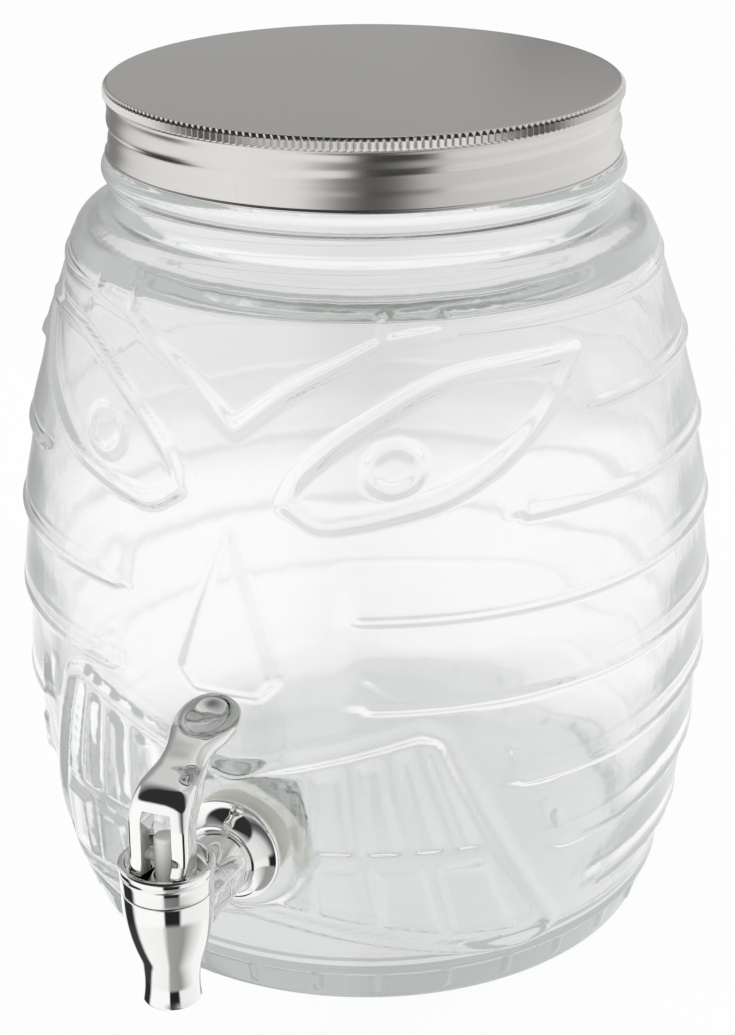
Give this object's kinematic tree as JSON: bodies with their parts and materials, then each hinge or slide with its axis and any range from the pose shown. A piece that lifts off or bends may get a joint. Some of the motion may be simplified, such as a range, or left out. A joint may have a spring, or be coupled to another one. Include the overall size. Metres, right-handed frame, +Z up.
{
  "type": "glass dispenser jar with lever tap",
  "caption": "Barrel-shaped moulded glass dispenser jar with a carved mask relief, a pressed screw lid and a chromed lever tap low on its front.",
  "frame": {"origin": "middle of the foot of the jar, on the surface it stands on", "axes": "+Z up along the axis of the jar, -Y towards the front, where the tap and the face are, +X to the right in a front view"},
  "size_m": [0.1982, 0.2462, 0.238],
  "materials": {
    "clear_glass": "clear pressed glass with a faint green tint",
    "lid_steel": "satin pressed steel",
    "liner_foam": "pale soft liner",
    "tap_chrome": "mirror chrome",
    "gasket_silicone": "cream silicone",
    "white_plastic": "moulded white plastic"
  },
  "bodies": {
    "jar": {"glass_jar": "clear_glass", "tap_body": "tap_chrome", "tap_flange": "tap_chrome", "outer_gasket": "gasket_silicone", "inner_gasket": "gasket_silicone", "shank_nut": "white_plastic", "tap_bonnet": "tap_chrome", "seat_seal": "gasket_silicone"},
    "liner": {"lid_liner": "liner_foam"},
    "lid": {"lid_shell": "lid_steel"},
    "stem": {"tap_stem": "white_plastic"},
    "lever": {"tap_lever": "tap_chrome"}
  },
  "joints": [
    {"name": "lid_rise", "type": "slide", "parent": "jar", "child": "liner", "axis": [0, 0, 1], "range_m": [0, 0.018]},
    {"name": "lid_turn", "type": "hinge", "parent": "liner", "child": "lid", "pos_m": [0, 0, 0.228], "axis": [0, 0, 1], "range_deg": [0, 1080]},
    {"name": "stem_lift", "type": "slide", "parent": "jar", "child": "stem", "axis": [0, 0, 1], "range_m": [0, 0.00218], "deforming": ["seat_seal"]},
    {"name": "lever_tilt", "type": "hinge", "parent": "stem", "child": "lever", "pos_m": [0, -0.1353, 0.0723], "axis": [1, 0, 0], "range_deg": [0, 48], "stiffness_Nm_per_rad": 0.12, "springref_deg": -17.19}
  ],
  "couplings": [
    {"joint": "lid_rise", "follows": "lid_turn", "m_per_rad": 0.00095493},
    {"joint": "stem_lift", "follows": "lever_tilt", "m_per_rad": 0.0026}
  ]
}
